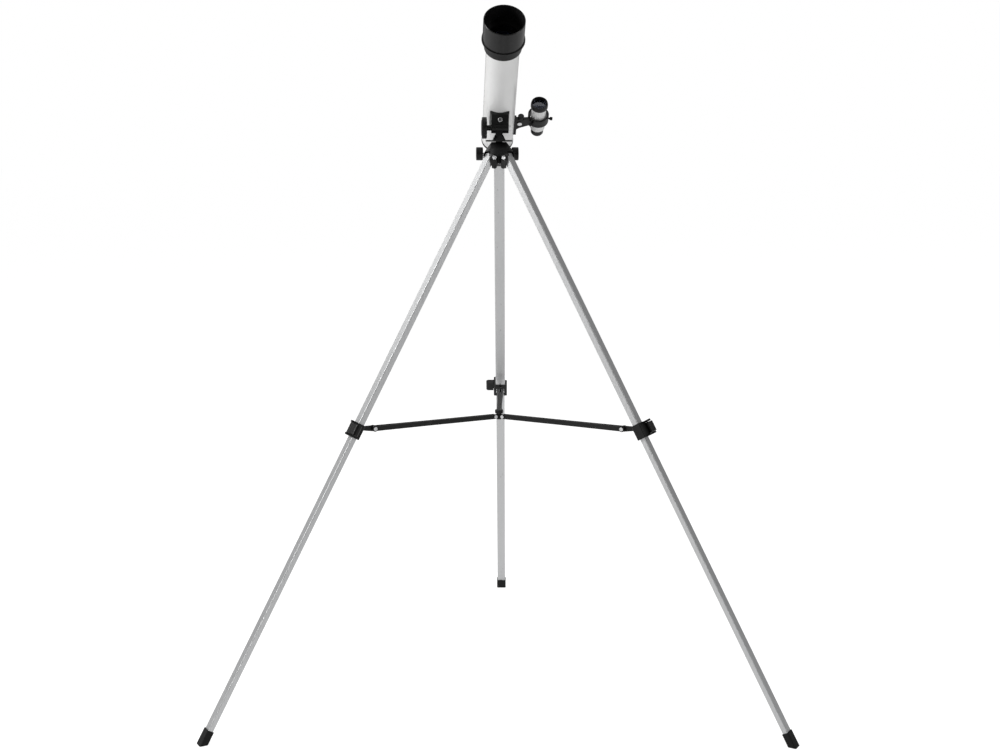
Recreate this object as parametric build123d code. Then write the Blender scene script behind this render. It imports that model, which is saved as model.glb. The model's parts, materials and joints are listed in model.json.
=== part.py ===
from build123d import *
import os
from math import sin, cos, atan2, hypot, radians, degrees

# Small refractor telescope on an alt-azimuth yoke and a folding aluminium tripod.
# Millimetres, +Z up. Origin: on the floor, on the tripod's centre line.
# The rear leg points to +Y; the tube looks towards -Y and up.

# ---- tripod layout ----
PIVOT_R, PIVOT_Z = 18.0, 955.0        # leg pivot bolts
FOOT_R = 563.0                        # foot circle on the floor
LEG_AZ = {"rear": 90.0, "left": 210.0, "right": 330.0}
THETA = atan2(FOOT_R - PIVOT_R, PIVOT_Z)
LEG_LEN = hypot(FOOT_R - PIVOT_R, PIVOT_Z)

# ---- leg sections (w = across, n = radial) ----
UP_W, UP_N, UP_WALL = 18.4, 11.0, 0.8
LO_W, LO_N, LO_WALL = 16.4, 9.0, 0.9
SLIDE_GAP = 0.35                      # clearance of the lower tube in the clamp's mouth
UP_TOP, UP_END = -5.0, 526.0          # distance along the leg from the pivot
LO_TOP, LO_END = 402.0, 1086.0
FOOT_TOP = 1074.0
CLAMP_T0, CLAMP_T1 = 511.5, 537.5
CLAMP_W, CLAMP_IN, CLAMP_OUT = 13.0, -7.0, 10.0
HORN_OUT, BAND = 20.5, 9.5            # reach of the horns, height of the band above the window
LEVER_PIN = (-9.6, 13.2)
THUMB_X, THUMB_N0, THUMB_N1 = -28.0, 4.6, 15.8

# ---- spreader ----
LUG_T, LUG_N = 507.5, -28.5           # outer arm pivot, measured from the leg pivot
HUB_R, HUB_Z = 9.5, 498.0             # inner arm pivots
ARM_W, ARM_H, FORK_GAP, LUG_THICK = 9.0, 8.0, 3.6, 3.0
ARM_END, TAPER = 13.0, 110.0          # width over the outer fork, length of the flare

# ---- head and yoke ----
HEAD_TOP, HEAD_SKIRT, CORE_BOTTOM = 981.0, 957.0, 945.0
EAR_X, EAR_THICK, EAR_LOW = 11.2, 3.0, 935.5   # clevis plates beside each leg
DISC_R, DISC_Z0, DISC_Z1 = 23.3, 981.6, 984.4
SHAFT_R, RUN = 6.0, 0.05              # azimuth shaft and radial running clearance
AXIS_Z = 1005.0                       # altitude axis height
EAR_R, EAR_W = 9.0, 6.0
UPPER_TURN = 3.6                      # rest heading of the tube, degrees about Z
TILT = 40.3                           # rest elevation of the tube, degrees

# ---- optical tube (s = along the tube from the altitude axis, u = up from it) ----
TUBE_X, TUBE_U = 2.0, 45.8
TUBE_R, TUBE_WALL = 28.0, 1.0
TUBE_S0, TUBE_S1 = -82.0, 149.0
CELL_R = 31.5
SHIELD_R, SHIELD_S0, SHIELD_S1 = 34.5, 166.0, 211.0
LENS_R = 25.0
SADDLE_X0, SADDLE_X1, FLARE = -13.5, 16.5, 2.5
PINION_S, PINION_U = -102.0, -18.5    # pinion axis, relative to the tube axis
DRAW_R, DRAW_WALL = 13.0, 1.0
LOCK_S = -108.0                       # focus lock screw
EYE_S = -143.0                        # eyepiece axis along the tube
HOUSING_SCREWS, SCREW_S = (60, 180, 300), -79.2   # three screws through the tube into the focuser
FIND_SCREWS, FIND_SCREW_S = (20, 140, 260), -40.0  # the finder's adjusters

# ---- finder, relative to the tube axis ----
FIND_X, FIND_U = 71.5, 14.0
FIND_RING = (-48.5, -32.0)


def cyl(r, z0, z1, x=0.0, y=0.0):
    return Pos(x, y, (z0 + z1) / 2) * Cylinder(r, z1 - z0)


def pipe(r_out, r_in, z0, z1):
    return cyl(r_out, z0, z1) - cyl(r_in, z0 - 1, z1 + 1)


def block(x0, x1, y0, y1, z0, z1):
    return Pos((x0 + x1) / 2, (y0 + y1) / 2, (z0 + z1) / 2) * Box(x1 - x0, y1 - y0, z1 - z0)


def xrod(r, x0, x1, y=0.0, z=0.0):
    return Pos((x0 + x1) / 2, y, z) * Rot(0, 90, 0) * Cylinder(r, x1 - x0)


def yrod(r, y0, y1, x=0.0, z=0.0):
    return Pos(x, (y0 + y1) / 2, z) * Rot(90, 0, 0) * Cylinder(r, y1 - y0)


def turned(points):
    """Solid of revolution about Z from (radius, z) points."""
    return revolve(Plane.XZ * make_face(Polyline(*[(r, z) for r, z in points], close=True)), Axis.Z)


def slab_x(points, x0, x1, rounding=0.0):
    """Extrude a (y, z) outline along X."""
    face = make_face(Polyline(*points, close=True))
    if rounding:
        face = fillet(face.vertices(), rounding)
    return Pos(x0, 0, 0) * extrude(Plane.YZ * face, x1 - x0)


def link_x(a, b, r_a, r_b, x0, x1):
    """Bar along X thickness joining two round ends given in (y, z)."""
    hull = make_hull((Pos(*a) * Circle(r_a)).edges() + (Pos(*b) * Circle(r_b)).edges())
    return Pos(x0, 0, 0) * extrude(Plane.YZ * hull, x1 - x0)


def hexagon(r, x0, x1, y=0.0, z=0.0):
    return Pos(x0, y, z) * extrude(Plane.YZ * RegularPolygon(r, 6), x1 - x0)


def crosshead(r, height, shank_r, shank):
    """Pan-head screw along +Z, head underside at z = 0."""
    head = fillet(cyl(r, 0, height).faces().sort_by(Axis.Z)[-1].edges(), height * 0.45)
    slot = block(-r * 0.55, r * 0.55, -r * 0.11, r * 0.11, height * 0.45, height + 1)
    return head + cyl(shank_r, -shank, 0) - slot - Rot(0, 0, 90) * slot


def knurled(r, z0, z1, count, depth):
    """Grip cylinder with shallow flutes."""
    grip = chamfer(cyl(r, z0, z1).edges(), min(0.8, (z1 - z0) / 6))
    flutes = [Rot(0, 0, 360 * i / count) * cyl(depth * 1.6, z0 - 1, z1 + 1, r + depth * 0.6)
              for i in range(count)]
    return grip - flutes


NODES = {}


def put(name, frame, *solids):
    """Store a node: one solid, or a group of separate solids."""
    placed = []
    for solid in solids:
        for piece in (solid if isinstance(solid, list) else [solid]):
            placed += list((frame.location * piece).solids())
    NODES[name] = placed[0] if len(placed) == 1 else Compound(children=placed)


def leg_frame(azimuth):
    """X across the leg, Y outwards, Z up along the leg; origin on the pivot."""
    a = radians(azimuth)
    radial = Vector(cos(a), sin(a), 0)
    up = radial * -sin(THETA) + Vector(0, 0, cos(THETA))
    return Plane(origin=radial * PIVOT_R + Vector(0, 0, PIVOT_Z),
                 x_dir=(sin(a), -cos(a), 0), z_dir=tuple(up))


def spoke_frame(azimuth, z=0.0):
    """X across, Y outwards, Z up; origin on the centre line."""
    a = radians(azimuth)
    return Plane(origin=(0, 0, z), x_dir=(sin(a), -cos(a), 0), z_dir=(0, 0, 1))


# ================= tripod head =================
head = turned([(0, HEAD_TOP), (13.0, HEAD_TOP), (14.5, HEAD_TOP - 2), (21.5, 969.5), (27.0, 960.5),
               (27.6, HEAD_SKIRT), (24.5, HEAD_SKIRT), (10.5, 962), (10.5, CORE_BOTTOM),
               (0, CORE_BOTTOM)])
for azimuth in LEG_AZ.values():
    spoke = spoke_frame(azimuth).location
    plate = (link_x((PIVOT_R, PIVOT_Z), (12.5, 962), 6.0, 5.0, -EAR_THICK / 2, EAR_THICK / 2)
             + link_x((PIVOT_R, PIVOT_Z), (15.5, EAR_LOW + 4.5), 6.0, 4.5, -EAR_THICK / 2, EAR_THICK / 2))
    plate &= block(-15, 15, 4, 24, EAR_LOW - 5, 968)
    head += [spoke * (Pos(side * EAR_X, 0, 0) * plate) for side in (-1, 1)]
for azimuth in LEG_AZ.values():
    spoke = spoke_frame(azimuth).location
    head -= spoke * block(-9.6, 9.6, 10.3, 40, 930, 965)
    head -= spoke * (xrod(2.5, -14, 14, PIVOT_R, PIVOT_Z) + xrod(5.2, 12.6, 22, PIVOT_R, PIVOT_Z)
                     + xrod(5.2, -22, -12.6, PIVOT_R, PIVOT_Z))
head -= cyl(SHAFT_R + RUN, CORE_BOTTOM - 1, HEAD_TOP + 1)
put("tripod_head", Plane.XY, head)

pivot_bolts = []
for azimuth in LEG_AZ.values():
    spoke = spoke_frame(azimuth).location
    bolt = xrod(2.45, -14.6, 12.6, PIVOT_R, PIVOT_Z) + hexagon(4.2, 12.6, 15.4, PIVOT_R, PIVOT_Z)
    pivot_bolts.append(spoke * bolt)
pivot_nuts = [spoke_frame(a).location * (hexagon(4.2, -15.6, -12.6, PIVOT_R, PIVOT_Z)
              - xrod(2.45, -16, -12, PIVOT_R, PIVOT_Z)) for a in LEG_AZ.values()]
put("pivot_bolts", Plane.XY, *pivot_bolts, *pivot_nuts)

# ================= legs =================
for name, azimuth in LEG_AZ.items():
    leg = leg_frame(azimuth)

    upper = block(-UP_W / 2, UP_W / 2, -UP_N / 2, UP_N / 2, -UP_END, -UP_TOP)
    upper = fillet(upper.edges().filter_by(Axis.Z), 1.4)
    upper -= block(-UP_W / 2 + UP_WALL, UP_W / 2 - UP_WALL, -UP_N / 2 + UP_WALL,
                   UP_N / 2 - UP_WALL, -UP_END - 1, -UP_TOP + 1)
    upper -= xrod(2.6, -12, 12)
    put(f"leg_{name}_upper_tube", leg, upper)

    plug = block(-UP_W / 2 + UP_WALL, UP_W / 2 - UP_WALL, -UP_N / 2 + UP_WALL,
                 UP_N / 2 - UP_WALL, -22, -UP_TOP)
    plug += fillet(block(-8.9, 8.9, -5.0, 5.0, -UP_TOP, -UP_TOP + 1.0).edges().filter_by(Axis.Z), 1.2)
    put(f"leg_{name}_top_plug", leg, plug - xrod(2.5, -12, 12))

    lower = block(-LO_W / 2, LO_W / 2, -LO_N / 2, LO_N / 2, -LO_END, -LO_TOP)
    lower = fillet(lower.edges().filter_by(Axis.Z), 1.1)
    lower -= block(-LO_W / 2 + LO_WALL, LO_W / 2 - LO_WALL, -LO_N / 2 + LO_WALL,
                   LO_N / 2 - LO_WALL, -LO_END - 1, -LO_TOP + 1)
    put(f"leg_{name}_lower_tube", leg, lower)

    floor = leg.location.inverse() * block(-900, 900, -900, 900, 0, 200)
    foot = block(-9.6, 9.6, -6.4, 6.4, -LEG_LEN - 12, -FOOT_TOP)
    foot = fillet(foot.edges().filter_by(Axis.Z), 2.6)
    foot = chamfer(foot.faces().sort_by(Axis.Z)[-1].edges(), 0.8)
    sole = foot & floor
    sole -= block(-LO_W / 2, LO_W / 2, -LO_N / 2, LO_N / 2, -LO_END, -FOOT_TOP + 1)
    put(f"leg_{name}_foot", leg, sole)

    # clamp body: sleeve, spreader lug and the two lever horns
    body = block(-CLAMP_W, CLAMP_W, CLAMP_IN, CLAMP_OUT, -CLAMP_T1, -CLAMP_T0)
    body = fillet(body.edges().filter_by(Axis.Z), 2.0)
    for z0, z1 in ((-CLAMP_T0 - 3.4, -CLAMP_T0), (-CLAMP_T1, -CLAMP_T1 + 3.4)):
        horn = block(-CLAMP_W, -5.5, CLAMP_OUT - 3, HORN_OUT, z0, z1)
        body += fillet(horn.edges().filter_by(Axis.Z).sort_by(Axis.Y)[-2:], 2.6)
    body -= block(-6.5, 6.5, CLAMP_IN - 1, -LO_N / 2, -CLAMP_T1 - 1, -CLAMP_T0 - BAND)
    body += link_x((LUG_N, -LUG_T), (-6.2, -517.5), 5.2, 3.4, -LUG_THICK / 2, LUG_THICK / 2)
    body -= cyl(1.5 + RUN, -CLAMP_T1 - 1, -CLAMP_T0 + 1, *LEVER_PIN)
    body -= block(-UP_W / 2, UP_W / 2, -UP_N / 2, UP_N / 2, -UP_END, -CLAMP_T0 + 20)
    body -= block(-LO_W / 2 - SLIDE_GAP, LO_W / 2 + SLIDE_GAP, -LO_N / 2 - SLIDE_GAP,
                  LO_N / 2 + SLIDE_GAP, -CLAMP_T1 - 1, -UP_END + 1)
    body -= xrod(2.1, -5, 5, LUG_N, -LUG_T)
    put(f"leg_{name}_clamp", leg, body)

    # flip lever: a barrel with trunnion ends and a thumb block lying along the clamp's side
    z0, z1 = -CLAMP_T1 + 4.0, -CLAMP_T0 - 4.0
    thumb = block(THUMB_X, -CLAMP_W - 0.7, THUMB_N0, THUMB_N1, z0, z1)
    thumb = fillet(thumb.edges().filter_by(Axis.Z).group_by(Axis.X)[0], 4.5)
    lever = thumb + block(-16, LEVER_PIN[0], LEVER_PIN[1] - 2.7, LEVER_PIN[1] + 2.6, z0, z1)
    lever += cyl(2.7, z0, z1, *LEVER_PIN)
    lever += cyl(1.5, -CLAMP_T1 + 0.4, -CLAMP_T0 - 0.4, *LEVER_PIN)
    put(f"leg_{name}_lever", leg, lever)

    # spreader arm, from the hub pin to the lug pin; the outer pin joins the arm only
    lug_r = PIVOT_R + LUG_T * sin(THETA) + LUG_N * cos(THETA)
    lug_z = PIVOT_Z - LUG_T * cos(THETA) + LUG_N * sin(THETA)
    spoke = spoke_frame(azimuth)
    reach = hypot(lug_r - HUB_R, lug_z - HUB_Z)
    slope = degrees(atan2(lug_z - HUB_Z, lug_r - HUB_R))
    outline = Polyline((-ARM_W / 2, 0), (ARM_W / 2, 0), (ARM_W / 2, reach - TAPER), (ARM_END / 2, reach),
                       (-ARM_END / 2, reach), (-ARM_W / 2, reach - TAPER), close=True)
    arm = extrude(Plane.XY.offset(-ARM_H / 2) * make_face(outline), ARM_H)
    arm += xrod(ARM_H / 2, -ARM_W / 2, ARM_W / 2)
    arm += xrod(5.0, -ARM_END / 2, ARM_END / 2, reach)
    arm = arm - block(-FORK_GAP / 2, FORK_GAP / 2, -8, 11, -9, 9)
    arm -= block(-FORK_GAP / 2, FORK_GAP / 2, reach - 36, reach + 9, -9, 9)
    arm -= block(-ARM_W / 2 + 1.5, ARM_W / 2 - 1.5, 18, reach - 44, -ARM_H / 2 - 1, ARM_H / 2 - 1.6)
    arm -= xrod(2.0 + RUN, -9, 9) + xrod(2.0, -9, 9, reach)
    tilt = Pos(0, HUB_R, HUB_Z) * Rot(slope, 0, 0)
    put(f"spreader_arm_{name}", spoke, tilt * arm)
    heads = [xrod(2.0, FORK_GAP / 2, ARM_END / 2, reach)
             + xrod(3.3, ARM_END / 2, ARM_END / 2 + 1.3, reach)]
    heads.append(mirror(heads[0], Plane.YZ))
    put(f"spreader_rivets_{name}", spoke, *[tilt * h for h in heads])

# ================= spreader hub =================
hub = cyl(4.3, 492.4, 504) + fillet(cyl(7.4, 503.2, 509.6).edges(), 1.4)
for azimuth in LEG_AZ.values():
    tab = block(-1.5, 1.5, 2, HUB_R, HUB_Z - 3.5, HUB_Z + 3.5) + xrod(3.5, -1.5, 1.5, HUB_R, HUB_Z)
    hub += spoke_frame(azimuth).location * (tab - xrod(2.0, -3, 3, HUB_R, HUB_Z))
put("spreader_hub", Plane.XY, hub)
PIN_IN = ARM_W / 2 + 0.3
hub_pin = xrod(2.0, -PIN_IN, PIN_IN, HUB_R, HUB_Z)
for side in (-1, 1):
    hub_pin += xrod(3.1, *sorted((side * PIN_IN, side * (PIN_IN + 1.1))), HUB_R, HUB_Z)
put("hub_pins", Plane.XY, *[spoke_frame(a).location * hub_pin for a in LEG_AZ.values()])

# ================= yoke =================
turn = Plane(origin=(0, 0, 0), x_dir=(cos(radians(UPPER_TURN)), sin(radians(UPPER_TURN)), 0),
             z_dir=(0, 0, 1))
yoke = fillet(cyl(DISC_R, DISC_Z0, DISC_Z1).edges(), 0.8)
yoke += turned([(0, DISC_Z1), (11.5, DISC_Z1), (10.4, 986.5), (7.0, 993.4), (0, 993.4)])
yoke += block(-EAR_W, EAR_W, -7, 7, 988, AXIS_Z) + xrod(EAR_R, -EAR_W, EAR_W, 0, AXIS_Z)
yoke += cyl(SHAFT_R, 944.5, DISC_Z0 + 1)
yoke -= xrod(3.1, -9, 9, 0, AXIS_Z) + cyl(2.5, 930, 960)
put("azimuth_yoke", turn, yoke)
bolt = cyl(2.5, 943, 959) + extrude(Plane.XY.offset(939.4) * RegularPolygon(4.8, 6), 3.6)
put("azimuth_retainer", turn, pipe(9.0, 2.6, 943.0, 944.5), bolt)

# ================= saddle =================
tr, er = radians(UPPER_TURN), radians(TILT)
ota = Plane(origin=(0, 0, AXIS_Z), x_dir=(cos(tr), sin(tr), 0),
            z_dir=(cos(er) * sin(tr), -cos(er) * cos(tr), sin(er)))
optic = Pos(TUBE_X, TUBE_U, 0)

saddle = slab_x([(26, 19), (14, 19), (-2, 9.0), (-2, -9.0), (14, -19), (26, -19)],
                SADDLE_X0, SADDLE_X1)
saddle += xrod(9.2, SADDLE_X0, SADDLE_X1)
saddle = chamfer(saddle.faces().filter_by(Axis.X).edges(), 0.7)
saddle += extrude(Plane.XY.offset(-17.5) * make_face(Polyline(
    (SADDLE_X0, 14), (SADDLE_X0 - FLARE, 26), (SADDLE_X1 + FLARE, 26), (SADDLE_X1, 14), close=True)), 35)
saddle -= optic * cyl(TUBE_R, -60, 60)
saddle -= xrod(9.8, -6.3, 6.3) + block(-6.3, 6.3, -20, 5, -30, 0) + block(-6.3, 6.3, -20, -1, 0, 30)
saddle -= xrod(3.0, -30, 30)
face_frame = Pos(1.5, 6.0, 14.0) * Rot(32, 0, 0)
saddle -= face_frame * cyl(1.6, -6, 0)
put("saddle", ota, saddle)
small_screws = [face_frame * crosshead(4.0, 2.2, 1.6, 6)]
put("altitude_bolt", ota, xrod(3.0, -25, SADDLE_X1) + hexagon(5.6, SADDLE_X1, SADDLE_X1 + 3.6))

grip = Rot(0, 90, 0) * knurled(18.5, -29.6, -21.4, 36, 0.5)
knob = grip + xrod(4.8, -21.4, -13.9) + xrod(13.5, -30.4, -29.6)
put("altitude_knob", ota, knob - xrod(3.0 + RUN, -25.5, -13))

# ================= optical tube =================
put("main_tube", ota, optic * pipe(TUBE_R, TUBE_R - TUBE_WALL, TUBE_S0, TUBE_S1))
baffles = [turned([(TUBE_R - TUBE_WALL, station), (TUBE_R - TUBE_WALL, station + 6),
                   (TUBE_R - 2, station + 6), (TUBE_R - 2, station + 1), (bore, station + 1), (bore, station)])
           for station, bore in ((30.0, 21.5), (-30.0, 18.0))]
put("tube_baffles", ota, *[optic * baffle for baffle in baffles])

cell = turned([(27.0, 139), (27.0, TUBE_S1), (CELL_R, TUBE_S1), (CELL_R, 164.5), (33.0, SHIELD_S0),
               (33.0, 176), (LENS_R + 0.3, 176), (LENS_R + 0.3, 155), (23.5, 155), (23.5, 150),
               (25.4, 148), (25.4, 139)])
put("objective_cell", ota, optic * cell)
shield = turned([(33.0, SHIELD_S0), (36.2, SHIELD_S0), (36.2, SHIELD_S0 + 2.4), (SHIELD_R, SHIELD_S0 + 2.8),
                 (SHIELD_R, SHIELD_S1 - 0.7), (SHIELD_R - 0.7, SHIELD_S1), (33.3, SHIELD_S1),
                 (33.0, SHIELD_S1 - 0.6)])
put("dew_shield", ota, optic * shield)


def lens(r, z_low, z_high, bulge_low, bulge_high, place):
    """Lens about Z; a positive bulge swells the solid on that side."""
    low = (r * r + bulge_low * bulge_low) / (2 * bulge_low)
    body = cyl(r, z_low - max(bulge_low, 0), z_high + bulge_high)
    top = (r * r + bulge_high * bulge_high) / (2 * bulge_high)
    body &= Pos(0, 0, z_high + bulge_high - top) * Sphere(top)
    if bulge_low > 0:
        body &= Pos(0, 0, z_low - bulge_low + low) * Sphere(low)
    else:
        body -= Pos(0, 0, z_low - bulge_low + low) * Sphere(-low)
    return place * body


put("objective_lenses", ota, lens(LENS_R, 155.2, 156.6, -0.9, 0.35, optic),
    lens(LENS_R, 158.4, 159.4, 0.9, 1.2, optic))
put("lens_ring", ota, optic * pipe(LENS_R + 0.3, 23.6, 161.0, 163.2))

# ================= focuser =================
housing = turned([(0, -74), (TUBE_R - TUBE_WALL, -74), (TUBE_R - TUBE_WALL, TUBE_S0), (28.4, TUBE_S0),
                  (28.4, -86), (25.5, -90), (18.5, -96), (17.5, -118), (0, -118)])
housing += slab_x([(-8, PINION_S - 12), (-8, PINION_S + 12), (PINION_U - 3, PINION_S + 12),
                   (PINION_U - 6.5, PINION_S + 8.5), (PINION_U - 6.5, PINION_S - 8.5),
                   (PINION_U - 3, PINION_S - 12)], -13, 13)
housing -= cyl(DRAW_R + RUN, -130, -70)
housing -= block(-8, 8, PINION_U - 4.6, -10, PINION_S - 5, PINION_S + 5)
housing -= block(-3.4, 3.4, -15.5, -10, -130, -70)
housing -= xrod(2.0 + RUN, -20, 20, PINION_U, PINION_S)
housing -= yrod(1.5 + RUN, 10, 24, 0, LOCK_S)
put("focuser_housing", ota, optic * housing)
for angle in HOUSING_SCREWS:
    seat = Rot(0, 0, angle) * Pos(0, TUBE_R, SCREW_S) * Rot(-90, 0, 0)
    small_screws.append(optic * (seat * crosshead(2.6, 1.3, 1.3, 4)))
    for node in ("focuser_housing", "main_tube"):
        hole = optic * (Rot(0, 0, angle) * yrod(1.3, 20, 30, 0, SCREW_S))
        NODES[node] = (NODES[node] - ota.location * hole).solids()[0]

draw = cyl(DRAW_R, -126, -66) + block(-3, 3, -14.2, -DRAW_R + 0.9, -116, -72)
put("focuser_drawtube", ota, optic * (draw - cyl(DRAW_R - DRAW_WALL, -130, -60)))
shaft = xrod(2.0, -36, 36, PINION_U, PINION_S) + xrod(3.9, -7, 7, PINION_U, PINION_S)
put("pinion_shaft", ota, optic * shaft)
wheel = knurled(11.75, 26, 38, 24, 0.45) - cyl(8.0, 37.2, 39) - cyl(2.0, 20, 36)
put("focus_knobs", ota, *[optic * (Pos(0, PINION_U, PINION_S) * Rot(0, turned_by, 0) * wheel)
                          for turned_by in (90, -90)])
lock = cyl(1.5, 13.6, 20) + knurled(4.2, 19.2, 25, 14, 0.3)
put("focus_lock_screw", ota, optic * (Pos(0, 0, LOCK_S) * Rot(-90, 0, 0) * lock))

# ================= star diagonal and eyepiece =================
shell = slab_x([(14.5, -128), (-9, -128), (-14.5, -131.5), (-14.5, EYE_S + 8.8), (9.8, EYE_S - 15.5),
                (14.5, EYE_S - 15.5)], -15.8, 15.8)
shell = fillet(shell.edges().filter_by(Axis.X), 1.2)
shell += yrod(14.2, 12, 31, 0, EYE_S) + cyl(13.6, -131, -126.5) + cyl(DRAW_R - DRAW_WALL - 0.07, -131, -106)
light = cyl(10.2, EYE_S - 20, -100) + yrod(10.2, -20, 20, 0, EYE_S)
shell -= light & slab_x([(-20, -100), (-20, EYE_S + 20), (20, EYE_S - 20), (20, -100)], -12, 12)
mirror_plate = slab_x([(-10.5, EYE_S + 10.5), (10.5, EYE_S - 10.5), (9.1, EYE_S - 11.9),
                       (-11.9, EYE_S + 9.1)], -9, 9)
shell = shell - mirror_plate - yrod(12.05, 14.5, 40, 0, EYE_S)
shell -= Pos(0, 25, 0) * cyl(1.5 + RUN, EYE_S - 20, EYE_S - 8)
put("diagonal_body", ota, optic * shell)
put("diagonal_mirror", ota, optic * mirror_plate)
eye_lock = cyl(1.5, 12.4, 17) + knurled(3.8, 15.4, 21, 14, 0.3)
put("eyepiece_lock_screw", ota, optic * (Pos(0, 25, EYE_S) * Rot(180, 0, 0) * eye_lock))

barrel = Pos(0, 0, EYE_S) * Rot(-90, 0, 0)
put("eyepiece_barrel", ota, optic * (barrel * turned(
    [(10.8, 15.2), (11.95, 15.2), (11.95, 31), (14.6, 31), (14.6, 44), (13.6, 47), (13.6, 56),
     (10.0, 56), (10.0, 50), (10.8, 48)])))
put("eyepiece_lenses", ota, lens(10.8, 19.5, 21.0, 0.5, 0.8, optic * barrel),
    lens(10.0, 51.4, 53.0, 0.8, 0.5, optic * barrel))
put("eyepiece_eyecup", ota, optic * (barrel * turned(
    [(13.6, 49), (15.4, 49), (15.4, 57), (16.2, 60.5), (14.9, 60.5), (13.6, 56.6)])))

# ================= finder and its bracket =================
find = Pos(TUBE_X + FIND_X, TUBE_U + FIND_U, 0)
s0, s1 = FIND_RING
ring = pipe(18.5, 15.6, s0, s1)
ring = chamfer(ring.edges().filter_by(GeomType.CIRCLE), 0.5)
arm_face = make_face(Polyline((24, -62), (24, -34), (34, -34), (40, -35.5), (60, -34), (60, -46.5),
                              (38, -56), (30, -62), close=True))
arm = extrude(Plane.XZ.offset(-2.2) * arm_face, -7.0)
foot_pad = block(22, 32, -6.5, 10.5, -64, -32)
bracket = (Pos(TUBE_X, TUBE_U, 0) * (foot_pad + arm)) - cyl(TUBE_R, -80, 0, TUBE_X, TUBE_U)
bracket += find * ring
bracket -= find * cyl(15.6, s0 - 5, s1 + 5)
for angle in FIND_SCREWS:
    bracket -= find * (Rot(0, 0, angle) * yrod(1.5, 10, 22, 0, FIND_SCREW_S))
clamp_at = Pos(TUBE_X + 40, TUBE_U + 5.9, 0)
bracket -= clamp_at * (cyl(2.0 + RUN, -50, -30) + cyl(5.9, -34.3, -20))
nut_at = Pos(TUBE_X + 38, TUBE_U, -44)
bracket -= nut_at * yrod(1.6, 0, 3.5)
put("finder_bracket", ota, bracket)
put("bracket_thumbscrew", ota, clamp_at * (cyl(2.0, -46, -34) + knurled(5.4, -34, -27.5, 18, 0.35)))
small_screws.append(nut_at * (yrod(1.6, 2.2, 3.4) + yrod(4.0, 0.4, 2.2)))
put("small_screws", ota, *small_screws)
adjuster = cyl(1.5, 13.1, 21) + knurled(3.0, 20.2, 25.5, 12, 0.25)
put("finder_adjusters", ota, *[find * (Rot(0, 0, angle) * Pos(0, 0, FIND_SCREW_S) * Rot(-90, 0, 0) * adjuster)
                               for angle in FIND_SCREWS])

put("finder_tube", ota, find * turned([(13.0, -66), (13.0, -13), (12.0, -13), (12.0, -66)]))
put("finder_cell", ota, find * turned(
    [(11.95, -18), (11.95, -13), (14.4, -13), (15.2, -12.2), (15.2, -7), (14.4, -3), (13.5, -3),
     (13.0, -8), (12.1, -8), (12.1, -11.6), (11.0, -12), (11.0, -18)]))
put("finder_eyepiece", ota, find * turned(
    [(11.95, -54), (11.95, -66.4), (11.2, -66.4), (11.2, -78), (10.2, -80), (5.5, -80), (5.5, -76),
     (10.2, -72), (10.2, -54)]))
put("finder_lenses", ota, lens(12.1, -10.9, -9.4, 0.4, 0.6, find),
    lens(10.2, -70.0, -68.6, 0.5, 0.4, find))

os.makedirs("parts", exist_ok=True)
for node_name, shape in NODES.items():
    export_step(shape, f"parts/{node_name}.step")
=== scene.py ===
import json
import math

import bpy
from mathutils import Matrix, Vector


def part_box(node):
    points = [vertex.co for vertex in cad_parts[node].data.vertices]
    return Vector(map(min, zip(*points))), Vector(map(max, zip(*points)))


# ---------------------------------------------------------------- frame
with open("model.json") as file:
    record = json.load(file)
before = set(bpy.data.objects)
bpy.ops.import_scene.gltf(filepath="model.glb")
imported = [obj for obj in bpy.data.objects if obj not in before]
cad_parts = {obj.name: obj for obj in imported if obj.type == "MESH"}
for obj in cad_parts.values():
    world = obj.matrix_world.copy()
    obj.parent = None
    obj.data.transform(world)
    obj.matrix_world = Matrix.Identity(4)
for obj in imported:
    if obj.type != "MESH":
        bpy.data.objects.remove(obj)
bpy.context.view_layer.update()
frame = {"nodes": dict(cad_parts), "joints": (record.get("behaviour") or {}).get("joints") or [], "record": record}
NODES = frame["nodes"]
RECORD = frame["record"]
JOINTS = {joint["name"]: joint for joint in frame["joints"]}
LEGS = ("rear", "left", "right")

# ---------------------------------------------------------------- camera
CAMERA_AT = Vector((0.0232, -2.4998, 0.9855))
CAMERA_YAW = 0.0086          # radians to the left
CAMERA_PITCH = 0.1639        # radians downwards
CAMERA_LENS = 51.3           # millimetres
SENSOR_WIDTH = 36.0          # millimetres
CLIP_END = 50.0


def make_camera():
    data = bpy.data.cameras.new("photo_camera")
    data.lens = CAMERA_LENS
    data.sensor_width = SENSOR_WIDTH
    data.clip_end = CLIP_END
    camera = bpy.data.objects.new("photo_camera", data)
    bpy.context.scene.collection.objects.link(camera)
    camera.location = CAMERA_AT
    camera.rotation_euler = (math.pi / 2 - CAMERA_PITCH, 0, CAMERA_YAW)
    bpy.context.scene.camera = camera


# ---------------------------------------------------------------- studio values
FLOOR_REACH = 40.0           # half the floor's side
FLOOR_TONE = 0.5
FLOOR_GLOW = 0.88            # lifts the floor to plain white for the camera
FLOOR_BOUNCE = 0.44          # the glow that the object sees
WORLD_SHOWN = 1.0            # the backdrop that the camera sees
WORLD_LIGHT = 0.22           # the fill light that the object sees
STUDIO_CENTRE = (0, 0, 0.7)
WHITE = (1, 1, 1)
BLACK = (0, 0, 0)

# Radii between a painted tube's outer face and its black bore.
MAIN_TUBE_SKIN = 0.0275
FINDER_TUBE_SKIN = 0.0125
LINING_TONE = (0.006, 0.006, 0.006)


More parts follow.
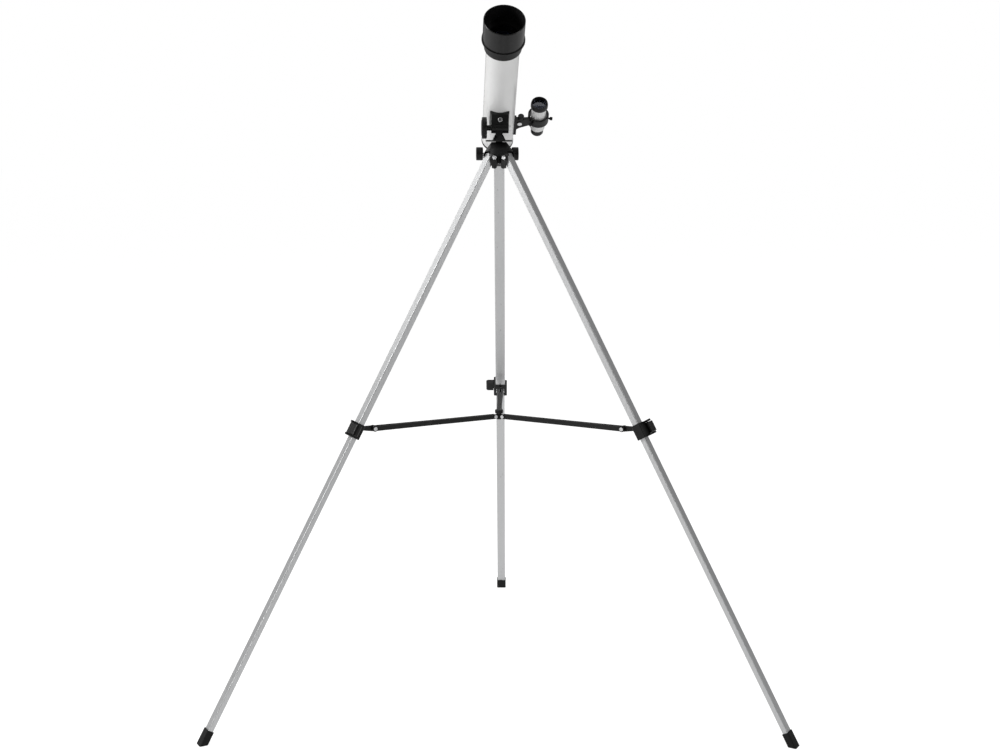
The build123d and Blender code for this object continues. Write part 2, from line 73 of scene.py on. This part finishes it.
# ---------------------------------------------------------------- node helpers
class Graph:
    """A material's node tree with short calls for nodes and links."""

    def __init__(self, name):
        self.material = bpy.data.materials.new(name)
        self.material.use_nodes = True
        self.nodes = self.material.node_tree.nodes
        self.links = self.material.node_tree.links
        self.shader = self.nodes["Principled BSDF"]

    def add(self, kind, **values):
        """A new node with its input sockets and properties set by name."""
        node = self.nodes.new(kind)
        for key, value in values.items():
            if key in node.inputs:
                node.inputs[key].default_value = value
            else:
                setattr(node, key, value)
        return node

    def link(self, source, target):
        self.links.new(source, target)

    def coordinates(self, scale=(1, 1, 1), turn=(0, 0, 0)):
        """Object coordinates, so that the pattern stays with the moving piece."""
        where = self.add("ShaderNodeTexCoord")
        mapping = self.add("ShaderNodeMapping")
        mapping.inputs["Scale"].default_value = scale
        mapping.inputs["Rotation"].default_value = turn
        self.link(where.outputs["Object"], mapping.inputs["Vector"])
        return mapping.outputs["Vector"]

    def noise(self, vector, scale, detail=4.0, roughness=0.6):
        node = self.add("ShaderNodeTexNoise", Scale=scale, Detail=detail, Roughness=roughness)
        self.link(vector, node.inputs["Vector"])
        return node.outputs["Fac"]

    def colour(self, tone):
        node = self.add("ShaderNodeRGB")
        node.outputs[0].default_value = (*tone, 1)
        return node.outputs[0]

    def ramp(self, factor, low, high, start=0.35, end=0.65):
        node = self.add("ShaderNodeValToRGB")
        node.color_ramp.elements[0].position = start
        node.color_ramp.elements[1].position = end
        node.color_ramp.elements[0].color = (*low, 1)
        node.color_ramp.elements[1].color = (*high, 1)
        self.link(factor, node.inputs["Fac"])
        return node.outputs["Color"]

    def span(self, factor, low, high):
        node = self.add("ShaderNodeMapRange")
        node.inputs["To Min"].default_value = low
        node.inputs["To Max"].default_value = high
        self.link(factor, node.inputs["Value"])
        return node.outputs["Result"]

    def bump(self, height, strength, distance):
        node = self.add("ShaderNodeBump", Strength=strength, Distance=distance)
        self.link(height, node.inputs["Height"])
        self.link(node.outputs["Normal"], self.shader.inputs["Normal"])

    def mix(self, factor, first, second):
        node = self.add("ShaderNodeMix", data_type="RGBA")
        self.link(factor, node.inputs["Factor"])
        self.link(first, node.inputs["A"])
        self.link(second, node.inputs["B"])
        return node.outputs["Result"]

    def set(self, **values):
        """Set the shader's own sockets; an underscore in a key stands for a space."""
        for key, value in values.items():
            self.shader.inputs[key.replace("_", " ")].default_value = value


def grey(value):
    """A grey with a slightly cool cast."""
    return (value, value, value * 1.01)


def scratches(graph, turn, scale, reach):
    """Thin sparse lines, 1 where there is a scratch."""
    vector = graph.coordinates(scale=reach, turn=turn)
    lines = graph.noise(vector, scale, detail=2.0)
    return graph.span(graph.ramp(lines, BLACK, WHITE, 0.70, 0.74), 0.0, 1.0)


def plastic(name, dark, light, rough, grain=900.0, bump=0.12):
    """Moulded plastic: fine grain, cloudy handling marks, a few scuffs."""
    graph = Graph(name)
    vector = graph.coordinates()
    cloud = graph.noise(vector, 22.0, detail=6.0)
    fine = graph.noise(vector, grain, detail=3.0)
    base = graph.ramp(cloud, grey(dark), grey(light))
    scuff = scratches(graph, turn=(0.4, 0.9, 0.2), scale=70.0, reach=(0.15, 1, 1))
    scuffed = graph.colour(grey(light * 1.8))
    graph.link(graph.mix(scuff, base, scuffed), graph.shader.inputs["Base Color"])
    graph.link(graph.span(cloud, rough - 0.06, rough + 0.1), graph.shader.inputs["Roughness"])
    graph.set(Specular_IOR_Level=0.3)
    graph.bump(fine, bump, 0.0004)
    return graph.material


def outside_of_tube(graph, node, skin):
    """1 on a round tube's outer face and 0 in its bore; skin is the radius between them."""
    low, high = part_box(node)
    where = graph.add("ShaderNodeTexCoord").outputs["Object"]
    away = graph.add("ShaderNodeVectorMath", operation="SUBTRACT")
    away.inputs[1].default_value = (Vector(low) + Vector(high)) / 2
    across = graph.add("ShaderNodeVectorMath", operation="CROSS_PRODUCT")
    across.inputs[1].default_value = Vector(JOINTS["drawtube_slide"]["axis"]).normalized()
    length = graph.add("ShaderNodeVectorMath", operation="LENGTH")
    outside = graph.add("ShaderNodeMath", operation="GREATER_THAN")
    outside.inputs[1].default_value = skin
    graph.link(where, away.inputs[0])
    graph.link(away.outputs["Vector"], across.inputs[0])
    graph.link(across.outputs["Vector"], length.inputs[0])
    graph.link(length.outputs["Value"], outside.inputs[0])
    return outside.outputs["Value"]


def enamel(name, node, skin):
    """White gloss paint with orange peel and faint dust; the bore is painted black."""
    graph = Graph(name)
    vector = graph.coordinates()
    peel = graph.noise(vector, 260.0, detail=2.0)
    cloud = graph.noise(vector, 9.0, detail=5.0)
    base = graph.ramp(cloud, (0.80, 0.80, 0.795), (0.86, 0.86, 0.858))
    specks = graph.ramp(graph.noise(vector, 620.0, detail=1.0), BLACK, WHITE, 0.74, 0.78)
    paint = graph.mix(specks, base, graph.colour((0.62, 0.61, 0.59)))
    outside = outside_of_tube(graph, node, skin)
    painted = graph.mix(outside, graph.colour(LINING_TONE), paint)
    graph.link(painted, graph.shader.inputs["Base Color"])
    graph.link(graph.span(cloud, 0.2, 0.32), graph.shader.inputs["Roughness"])
    graph.set(Coat_Weight=0.4, Coat_Roughness=0.12)
    graph.bump(peel, 0.05, 0.0006)
    return graph.material


def extruded_aluminium(name, turn):
    """Anodised extrusion: fine draw lines along the leg, handling smears, scratches."""
    graph = Graph(name)
    along = graph.coordinates(scale=(1, 1, 0.012), turn=turn)
    lines = graph.noise(along, 1500.0, detail=3.0)
    cloud = graph.noise(graph.coordinates(), 14.0, detail=6.0)
    base = graph.ramp(lines, (0.60, 0.605, 0.61), (0.70, 0.705, 0.71), 0.3, 0.7)
    worn = graph.colour((0.50, 0.50, 0.51))
    marks = scratches(graph, turn=turn, scale=120.0, reach=(1, 1, 0.05))
    graph.link(graph.mix(marks, base, worn), graph.shader.inputs["Base Color"])
    graph.link(graph.span(cloud, 0.34, 0.46), graph.shader.inputs["Roughness"])
    graph.set(Metallic=0.8)
    graph.bump(lines, 0.06, 0.0003)
    return graph.material


def metal(name, low, high, rough):
    """Plated or turned metal with fine random marks."""
    graph = Graph(name)
    vector = graph.coordinates()
    cloud = graph.noise(vector, 160.0, detail=5.0)
    graph.link(graph.ramp(cloud, grey(low), grey(high)), graph.shader.inputs["Base Color"])
    graph.link(graph.span(cloud, rough - 0.06, rough + 0.08), graph.shader.inputs["Roughness"])
    graph.set(Metallic=1.0)
    graph.bump(graph.noise(vector, 900.0), 0.06, 0.0003)
    return graph.material


def glass(name, painted_shade_factor=1.0):
    """Coated, faintly dusty glass; a factor below 1 darkens the glass colour as painted shade that stands for the
    dark behind a small lens.
    """
    graph = Graph(name)
    vector = graph.coordinates()
    dust = graph.noise(vector, 500.0, detail=2.0)
    # Both tones are scaled by the factor: below 1 this is painted shade, not dust.
    dust_with_painted_shade = tuple(painted_shade_factor * value for value in (0.86, 0.90, 0.95))
    clean_with_painted_shade = tuple(painted_shade_factor * value for value in (0.95, 0.96, 0.98))
    graph.link(graph.ramp(dust, dust_with_painted_shade, clean_with_painted_shade), graph.shader.inputs["Base Color"])
    graph.link(graph.span(dust, 0.0, 0.05), graph.shader.inputs["Roughness"])
    graph.set(Transmission_Weight=1.0, IOR=1.52, Coat_Weight=0.5, Coat_Tint=(0.75, 0.8, 1.0, 1))
    return graph.material


# ---------------------------------------------------------------- materials
def leg_turn(leg):
    """Mapping rotation that brings the leg's own axis onto the texture's Z."""
    axis = Vector(JOINTS[f"leg_slide_{leg}"]["axis"])
    return tuple(axis.rotation_difference(Vector((0, 0, 1))).to_euler("XYZ"))


def dress_nodes():
    """Give every CAD node its finish: by its own name first, else by its material slot."""
    finishes = {
        "black_plastic": plastic("satin_black_plastic", 0.005, 0.009, 0.34),
        "black_gloss_plastic": plastic("gloss_dark_plastic", 0.007, 0.012, 0.2, bump=0.03),
        "black_baffle": plastic("dead_black", 0.004, 0.007, 0.8),
        "main_tube": enamel("white_enamel_tube", "main_tube", MAIN_TUBE_SKIN),
        "finder_tube": enamel("white_enamel_finder", "finder_tube", FINDER_TUBE_SKIN),
        "drawtube_metal": metal("black_anodised", 0.05, 0.08, 0.4),
        "foot_rubber": plastic("moulded_rubber", 0.004, 0.008, 0.7, grain=500.0, bump=0.25),
        "bright_steel": metal("zinc_plated_steel", 0.62, 0.8, 0.26),
        "coated_glass": glass("coated_glass"),
        # Finder glass darkened to 0.35: painted shade for the dark inside the finder.
        "finder_lenses": glass("finder_glass", painted_shade_factor=0.35),
        "mirror": metal("mirror_coating", 0.86, 0.9, 0.08),
    }
    legs = {leg: extruded_aluminium(f"anodised_aluminium_{leg}", leg_turn(leg)) for leg in LEGS}
    for row in RECORD["subparts"]:
        node = NODES[row["node"]]
        if row["material_slot"] == "anodised_aluminium":
            finish = legs[row["node"].split("_")[1]]
        else:
            finish = finishes.get(row["node"]) or finishes[row["material_slot"]]
        for slot in node.material_slots:
            slot.material = finish


# ---------------------------------------------------------------- studio
def rectangle(name, width, height):
    """A flat rectangle centred on its own origin."""
    x, y = width / 2, height / 2
    mesh = bpy.data.meshes.new(name)
    mesh.from_pydata([(-x, -y, 0), (x, -y, 0), (x, y, 0), (-x, y, 0)], [], [(0, 1, 2, 3)])
    thing = bpy.data.objects.new(name, mesh)
    bpy.context.scene.collection.objects.link(thing)
    return thing


def area_light(name, at, aim, size, power):
    data = bpy.data.lights.new(name, "AREA")
    data.shape = "RECTANGLE"
    data.size, data.size_y = size
    data.energy = power
    lamp = bpy.data.objects.new(name, data)
    bpy.context.scene.collection.objects.link(lamp)
    lamp.location = at
    lamp.rotation_euler = (Vector(aim) - Vector(at)).to_track_quat("-Z", "Y").to_euler()


def make_floor():
    """A pale floor that is plain white to the camera and throws less light back at the legs."""
    floor = rectangle("studio_floor", 2 * FLOOR_REACH, 2 * FLOOR_REACH)
    graph = Graph("studio_floor")
    path = graph.add("ShaderNodeLightPath")
    glow = graph.span(path.outputs["Is Camera Ray"], FLOOR_BOUNCE, FLOOR_GLOW)
    graph.link(glow, graph.shader.inputs["Emission Strength"])
    graph.set(Base_Color=(FLOOR_TONE, FLOOR_TONE, FLOOR_TONE, 1), Roughness=0.9,
              Emission_Color=(*WHITE, 1))
    floor.data.materials.append(graph.material)


def make_world():
    """Plain white behind the object for the camera, and a weaker fill light on the object."""
    world = bpy.data.worlds.new("studio")
    world.use_nodes = True
    nodes, links = world.node_tree.nodes, world.node_tree.links
    lighting = nodes["Background"]
    shown = nodes.new("ShaderNodeBackground")
    for background, strength in ((lighting, WORLD_LIGHT), (shown, WORLD_SHOWN)):
        background.inputs["Color"].default_value = (*WHITE, 1)
        background.inputs["Strength"].default_value = strength
    path = nodes.new("ShaderNodeLightPath")
    mix = nodes.new("ShaderNodeMixShader")
    links.new(path.outputs["Is Camera Ray"], mix.inputs["Fac"])
    links.new(lighting.outputs[0], mix.inputs[1])
    links.new(shown.outputs[0], mix.inputs[2])
    links.new(mix.outputs["Shader"], nodes["World Output"].inputs["Surface"])
    bpy.context.scene.world = world


def make_card(name, centre, aim, width, height, tone):
    """A studio card that the camera doesn't see and that throws no shadow."""
    card = rectangle(name, width, height)
    card.location = centre
    card.rotation_euler = (Vector(aim) - Vector(centre)).to_track_quat("Z", "Y").to_euler()
    graph = Graph(name)
    graph.set(Base_Color=(tone, tone, tone, 1), Roughness=1.0)
    card.data.materials.append(graph.material)
    card.visible_camera = False
    card.visible_shadow = False


def make_studio():
    bpy.context.scene.view_settings.view_transform = "Standard"
    make_floor()
    make_world()
    # name, place, width and height in metres, watts
    softboxes = (
        ("left_softbox", (-3.0, -1.0, 2.3), (1.0, 2.4), 74),
        ("left_rim_softbox", (-2.2, 2.2, 2.3), (1.2, 2.2), 13),
        ("right_softbox", (3.0, -1.8, 2.2), (0.9, 2.2), 20),
        ("top_softbox", (0, 0.6, 3.6), (2.6, 2.0), 16),
    )
    for name, at, size, power in softboxes:
        area_light(name, at, STUDIO_CENTRE, size, power)
    make_card("front_card", (1.3, -4.2, 1.2), (0, 0, 0.8), 4.6, 3.4, 0.04)


make_camera()
dress_nodes()
make_studio()
